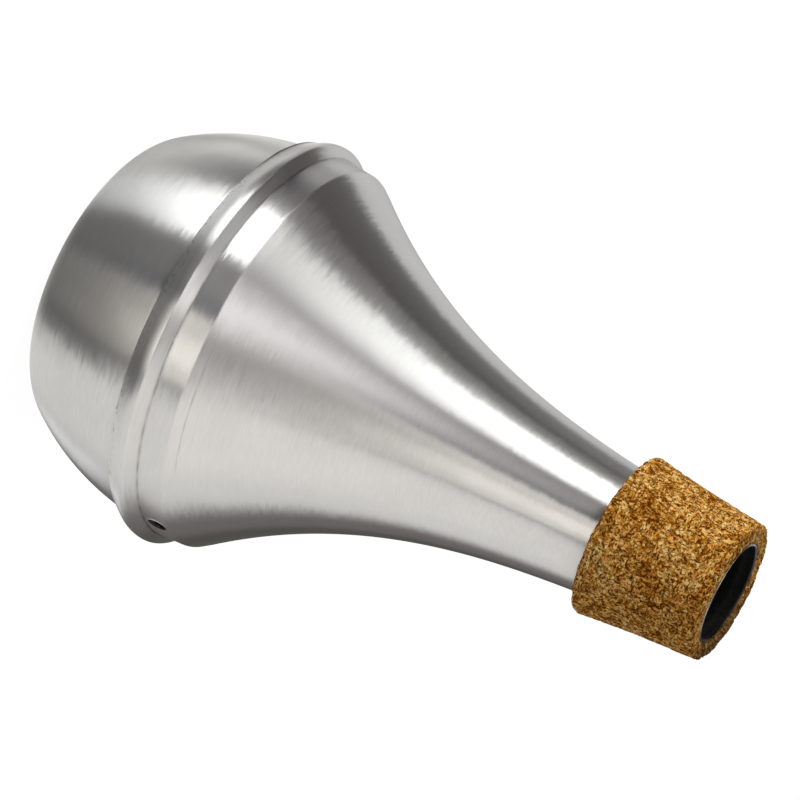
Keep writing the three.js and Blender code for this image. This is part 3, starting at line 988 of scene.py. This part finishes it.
def spun_aluminium(name, length, seed):
    """Bare aluminium, brushed on a lathe: fine rings, broken into streaks, on a soft gloss."""
    tree = new_material(name)
    uv = tree.add("UVMap", None, {"uv_map": "turned"}).outputs["UV"]
    parts = tree.add("SeparateXYZ", {"Vector": uv})
    turn = tree.times(parts.outputs["X"], tau)
    across = tree.times(parts.outputs["Y"], length)
    cosine = tree.math("COSINE", turn)
    sine = tree.math("SINE", turn)

    def rings(per_turn, per_mm, detail, offset):
        along = tree.math("MULTIPLY_ADD", across, per_mm, offset + seed)
        values = {0: tree.times(cosine, per_turn), 1: tree.times(sine, per_turn), 2: along}
        place = tree.add("CombineXYZ", values)
        return tree.noise(place.outputs[0], 1.0, detail)

    fine, medium = rings(*FINE_RINGS), rings(*MEDIUM_RINGS)
    broad, smudge, scuff = rings(*BROAD_RINGS), rings(*SMUDGE_RINGS), rings(*SCUFF_RINGS)
    lines = tree.plus(tree.times(fine, 0.7), tree.times(medium, 0.3))
    tone = tree.spread(lines, 0.3, 0.7)
    colour = tree.blend(tone, METAL_DARK, METAL_PALE)
    dull = tree.spread(smudge, 0.35, 0.7, 0.0, 0.1)
    colour = tree.blend(dull, colour, METAL_DULL)
    scuffed = tree.times(tree.spread(scuff, 0.53, 0.68, 0.0, 0.55), tree.mark("flank"))
    # Painted shade, with some dirt, from the points, and scuffs near the lip: they darken the
    # colour and dull the gloss
    shade_and_soil = tree.math("MAXIMUM", tree.times(tree.mark("shade_and_dirt"), 0.93), scuffed)
    colour = tree.blend(shade_and_soil, colour, METAL_SHADE_AND_DIRT)
    tilt = tree.times(tree.math("SUBTRACT", lines, 0.5), FINE_TIP)
    sway = tree.times(tree.math("SUBTRACT", broad, 0.5), BROAD_TIP)
    round_axis = {"direction_type": "RADIAL", "axis": "Z"}
    tangent = tree.add("Tangent", None, round_axis).outputs[0]
    normal = tree.add("NewGeometry").outputs["Normal"]
    lean = tree.vector("SCALE", tangent, tree.plus(tilt, sway))
    gloss = tree.plus(tree.times(lines, 0.5), tree.times(smudge, 0.5))
    rough = tree.plus(tree.spread(gloss, 0.3, 0.7, 0.30, 0.36), tree.times(shade_and_soil, 0.3))
    return tree.principled({
        "Base Color": colour,
        "Metallic": 1.0,
        "Roughness": rough,
        "Anisotropic": 0.98,
        "Anisotropic Rotation": 0.25,
        "Normal": tree.vector("NORMALIZE", tree.vector("ADD", normal, lean)),
        "Tangent": tangent,
    })


def cork_material():
    """Pressed cork: angular chips of straw, tan and brown, with dark gaps between them."""
    tree = new_material("pressed_cork")
    place = tree.place()
    warp = tree.noise(place, 1000.0, 3.0, output="Color")
    place = tree.vector("ADD", place, tree.vector("SCALE", warp, 0.0006))
    along = tree.vector("MULTIPLY", place, (1.3, 1.3, 0.65))
    across = tree.vector("MULTIPLY", place, (0.7, 0.7, 1.4))
    turned_chip = tree.spread(tree.noise(place, 420.0, 1.0, 0.4), 0.49, 0.51)
    chip_place = tree.blend(turned_chip, along, across, "VECTOR")
    small = tree.cells(chip_place, SMALL_CHIP_SCALE)
    grain = tree.noise(place, 2700.0, 3.0, 0.6)
    patch = tree.noise(place, 100.0)
    big_value = tree.channel(tree.cells(chip_place, CHIP_SCALE), 0)
    small_value = tree.channel(small, 1)
    mixed = tree.plus(tree.times(big_value, 0.38), tree.times(small_value, 0.38))
    mixed = tree.plus(mixed, tree.times(tree.spread(grain, 0.3, 0.7), 0.24))
    mixed = tree.plus(mixed, tree.times(tree.math("SUBTRACT", patch, 0.5), 0.45))
    colour = tree.ramp(mixed, [
        (0.22, (0.119, 0.020, 0.000)),
        (0.34, (0.290, 0.097, 0.004)),
        (0.46, (0.454, 0.200, 0.030)),
        (0.58, (0.585, 0.297, 0.072)),
        (0.70, (0.665, 0.405, 0.139)),
        (0.82, (0.700, 0.480, 0.205)),
    ])
    tint = tree.ramp(tree.channel(small, 2), [
        (0.15, (0.95, 0.82, 0.62)),
        (0.50, (0.88, 0.90, 0.90)),
        (0.85, (0.83, 0.93, 0.88)),
    ])
    colour = tree.vector("SCALE", tree.vector("MULTIPLY", colour, tint), 0.97)

    def gaps(scale, low, high, patches, patch_low, patch_high):
        to_edge = tree.cells(chip_place, scale, "DISTANCE_TO_EDGE").outputs["Distance"]
        patchy = tree.spread(tree.noise(place, patches), patch_low, patch_high, 0.0, 0.85)
        return tree.times(tree.spread(to_edge, low, high, 1.0, 0.0), patchy)

    seam = gaps(CHIP_SCALE, 0.02, 0.10, 900.0, 0.48, 0.56)
    hollow = gaps(SMALL_CHIP_SCALE, 0.06, 0.20, 1700.0, 0.54, 0.60)
    dots = tree.cells(chip_place, DOT_SCALE)
    dot = tree.spread(dots.outputs["Distance"], 0.26, 0.44, 1.0, 0.0)
    dot = tree.times(dot, tree.spread(tree.channel(dots, 0), 0.36, 0.48, 0.0, 0.95))
    colour = tree.blend(tree.math("MAXIMUM", seam, hollow), colour, CORK_GAP)
    colour = tree.blend(dot, colour, CORK_DOT)
    # Painted shade in the dish round the bore, and a darker stretch of the tip face
    darkening = tree.times(tree.mark("shade_and_dirt"), 0.8)
    colour = tree.blend(darkening, colour, CORK_DARK_BROWN)
    height = tree.plus(tree.times(grain, 0.4), tree.times(mixed, 0.4))
    height = tree.math("SUBTRACT", height, tree.times(hollow, 0.35))
    return tree.principled({
        "Base Color": colour,
        "Roughness": tree.spread(mixed, 0.2, 0.8, 0.92, 0.72),
        "Specular IOR Level": 0.02,
        "Normal": tree.bump(height, 1.0, 0.0005),
    })


def liner_material():
    """Black lacquered tube with faint dust and a soft gloss."""
    tree = new_material("black_liner")
    dust = tree.noise(tree.place(), 900.0, 4.0, 0.6)
    return tree.principled({
        "Base Color": tree.ramp(dust, [(0.35, (0.003,) * 3), (0.75, (0.009, 0.009, 0.008))]),
        "Roughness": tree.spread(dust, 0.3, 0.7, 0.75, 0.95),
        "Specular IOR Level": 0.1,
        "Normal": tree.bump(dust, 0.3, 0.00008),
    })


def foam_material():
    """Dark open-cell foam: small cells with paler walls."""
    tree = new_material("damping_foam")
    place = tree.place()
    cell = tree.cells(place, FOAM_SCALE).outputs["Distance"]
    patch = tree.times(tree.noise(place, 220.0, 3.0), 0.5)
    colour = tree.ramp(cell, [(0.1, (0.012, 0.016, 0.011)), (0.7, (0.135, 0.165, 0.118))])
    return tree.principled({
        "Base Color": tree.blend(patch, colour, FOAM_DUST),
        "Roughness": 0.95,
        "Specular IOR Level": 0.2,
        "Normal": tree.bump(cell, 0.9, 0.0005),
    })


body, body_length = spun_body()
bowl, bowl_length = spun_bowl()
grip, tube, ring = cork(), liner(), foam()
# Each piece with the node that it replaces, its slot and its material
for piece, node, slot, material in [
    (body, "body_shell", "spun_aluminium", spun_aluminium("aluminium_body", body_length, 0.0)),
    (bowl, "end_bowl", "spun_aluminium", spun_aluminium("aluminium_bowl", bowl_length, 61.0)),
    (grip, "cork_sleeve", "cork", cork_material()),
    (tube, "neck_liner", "black_liner", liner_material()),
    (ring, "damping_ring", "damping_foam", foam_material()),
]:
    piece.data.materials.append(material)
    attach(piece, "root")
    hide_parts(node)


# Floor, light tent, lamps and world

# The tent is a ball of cloth that only shows in reflections. A heading is in degrees round
# the mute from the camera, clockwise from above, and a lift is above the horizon. A panel
# is (from heading, to heading, from lift, to lift, slant, soft edge, red, green, blue),
# and its slant is how far its heading shifts in 45 degrees up.
CAMERA_HEADING = -163.0
TENT_RADIUS = 1.7
TENT_CLOTH = 0.14
TENT_PANELS = [
    (-176, -34, -62, 82, 11, 12, 0.78, 0.78, 0.77),
    (-103, -45, 7, 71, -17, 20, 0.93, 0.91, 0.89),
    (-187, -120, -34, 32, -8, 20, 0.16, 0.15, 0.15),
    (-150, -124, -37, -27, -5, 5, 1.19, 1.22, 1.26),
    (-177, 174, 67, 95, 0, 11, 0.87, 0.86, 0.86),
    (-34, 6, 11, 72, 7, 10, 0.14, 0.14, 0.15),
    (-35, 3, -28, 11, 1, 2, 1.52, 1.47, 1.39),
    (-26, -11, -14, 1, 2, 4, 2.70, 2.64, 2.49),
    (2, 28, 24, 74, -23, 8, 1.77, 1.71, 1.74),
    (49, 94, -50, 45, -5, 8, 0.97, 0.97, 0.94),
    (38, 74, -38, 8, -7, 2, 2.63, 2.69, 2.76),
    (76, 110, -45, 3, 13, 10, 0.06, 0.06, 0.07),
    (126, 135, -43, 8, 8, 10, 0.28, 0.29, 0.30),
    (76, 136, 13, 53, 0, 10, 0.10, 0.09, 0.09),
    (132, 173, -15, 22, 15, 6, 0.67, 0.67, 0.68),
    (108, 173, -55, -22, 16, 8, 1.27, 1.27, 1.23),
    (130, 173, -62, -29, 11, 6, 0.44, 0.45, 0.45),
    (-75, -13, -91, -23, 44, 6, 0.02, 0.02, 0.02),
    (3, 15, -43, 18, 4, 2, 0.06, 0.07, 0.09),
    (-39, -37, -27, 39, -4, 3, 0.52, 0.51, 0.52),
    (-197, -162, 22, 64, 0, 8, 0.08, 0.08, 0.08),
    (-171, -147, -14, 14, -3, 8, 0.08, 0.08, 0.07),
]
MUTE_MIDDLE = (0, 0, MUTE_HEIGHT / 2 * MM)
CAMERA_PLACE = (-0.80871186, -0.24724803, 0.3650062)
CAMERA_AIM = (-0.00132571, 0.00413139, 0.07371574)
CAMERA_ROLL = radians(117.11)
CAMERA_LENS = 189.5
LAMP_PLACE = (-0.857, 0.951, 0.30)
LAMP_SIZE = 0.8
LAMP_POWER = 20.0
FLOOR_HALF = 6.0
FLOOR_DROP = 0.0002
FLOOR_WHITE = 1.04
FLOOR_WHITE_SHARE = 0.92
SKY_LIGHT = 0.75


def across_edge(distance, soft):
    """Zero outside, one inside, and straight across an edge as wide as soft."""
    return np.clip(distance / soft + 0.5, 0, 1)


def s_curve(share):
    """Three times the square less twice the cube, level at zero and one."""
    return share * share * (3 - 2 * share)


def tent_glow(heading, lift):
    """Cloth colour, replaced inside each panel with a soft step at its four sides."""
    glow = np.full((*heading.shape, 3), TENT_CLOTH)
    for left, right, low, high, slant, soft, *colour in TENT_PANELS:
        middle = (left + right) / 2 + slant * (lift - (low + high) / 2) / 45
        off = np.abs((heading - middle + 180) % 360 - 180)
        beside = across_edge((right - left) / 2 - off, soft)
        between = across_edge(lift - low, soft) * across_edge(high - lift, soft)
        inside = s_curve(beside) * s_curve(between)
        glow += (np.array(colour) - glow) * inside[..., None]
    return glow


def tent():
    """A ball seen from inside: lift and heading on an even grid, glow as an attribute."""
    around, up = np.meshgrid(np.arange(0, 360, 1.0), np.linspace(-89.5, 89.5, 180))
    angle = np.radians(CAMERA_HEADING - around)
    rise = np.radians(up)
    unit = [np.cos(rise) * np.cos(angle), np.cos(rise) * np.sin(angle), np.sin(rise)]
    points = np.stack(unit, axis=2).reshape(-1, 3) * TENT_RADIUS + np.array(MUTE_MIDDLE)
    index = np.arange(around.size).reshape(around.shape)
    mesh = bpy.data.meshes.new("light_tent")
    mesh.from_pydata(points.tolist(), [], grid_quads(index).tolist())
    colour = np.concatenate([tent_glow(around, up), np.ones((*around.shape, 1))], axis=2)
    glow = mesh.attributes.new("glow", "FLOAT_COLOR", "POINT")
    glow.data.foreach_set("color", colour.astype(np.float32).ravel())
    tree = new_material("tent_cloth")
    mesh.materials.append(tree.close(tree.emission(tree.mark("glow", "Color"), 1.0)))
    cloth = add_object("light_tent", mesh)
    cloth.visible_camera = False
    cloth.visible_diffuse = False
    cloth.visible_shadow = False
    cloth.visible_transmission = False


def seen_directly(tree):
    """One for camera, glossy and transmission rays, and zero for the rest."""
    rays = tree.add("LightPath").outputs
    near = tree.math("MAXIMUM", rays["Is Camera Ray"], rays["Is Glossy Ray"])
    return tree.math("MAXIMUM", near, rays["Is Transmission Ray"])


def floor():
    """Large pale square under the base, white where it is seen, with a soft shadow."""
    mesh = bpy.data.meshes.new("floor")
    half = FLOOR_HALF
    corners = [(-half, -half), (half, -half), (half, half), (-half, half)]
    mesh.from_pydata([(x, y, -FLOOR_DROP) for x, y in corners], [], [(0, 1, 2, 3)])
    tree = new_material("pale_floor")
    matt = tree.add("BsdfDiffuse", {"Color": (0.9, 0.9, 0.9, 1)})
    white = tree.emission((1, 1, 1, 1), FLOOR_WHITE)
    share = tree.times(seen_directly(tree), FLOOR_WHITE_SHARE)
    mix = tree.add("MixShader", {0: share, 1: matt.outputs[0], 2: white})
    mesh.materials.append(tree.close(mix.outputs[0]))
    ground = add_object("floor", mesh)
    ground.visible_glossy = False


def world():
    """Even pale light, and plain white where it is seen."""
    tree = Tree(bpy.data.worlds.new("studio"))
    strength = tree.spread(seen_directly(tree), 0, 1, SKY_LIGHT, 1.0)
    light = tree.add("Background", {"Color": (1, 1, 1, 1), "Strength": strength})
    bpy.context.scene.world = tree.close(light.outputs[0], "OutputWorld")


def aimed(holder, place, aim, roll=0.0):
    """The object at a place, facing the aim and turned about its line of sight."""
    look = (Vector(aim) - Vector(place)).to_track_quat("-Z", "Y").to_matrix()
    holder.location = place
    holder.rotation_euler = (look @ Matrix.Rotation(roll, 3, "Z")).to_euler()
    return holder


def key_lamp():
    """Soft lamp that faces the mute's middle and isn't seen in the metal."""
    light = bpy.data.lights.new("key_lamp", "AREA")
    light.size = LAMP_SIZE
    light.energy = LAMP_POWER
    aimed(add_object("key_lamp", light), LAMP_PLACE, MUTE_MIDDLE).visible_glossy = False


def camera():
    """The photograph's viewpoint: a long lens, rolled about its axis."""
    data = bpy.data.cameras.new("camera")
    data.sensor_width = 36.0
    data.lens = CAMERA_LENS
    data.clip_start = 0.05
    data.clip_end = 20.0
    holder = add_object("camera", data)
    bpy.context.scene.camera = aimed(holder, CAMERA_PLACE, CAMERA_AIM, CAMERA_ROLL)


tent()
floor()
world()
key_lamp()
camera()
bpy.context.scene.view_settings.view_transform = "Standard"
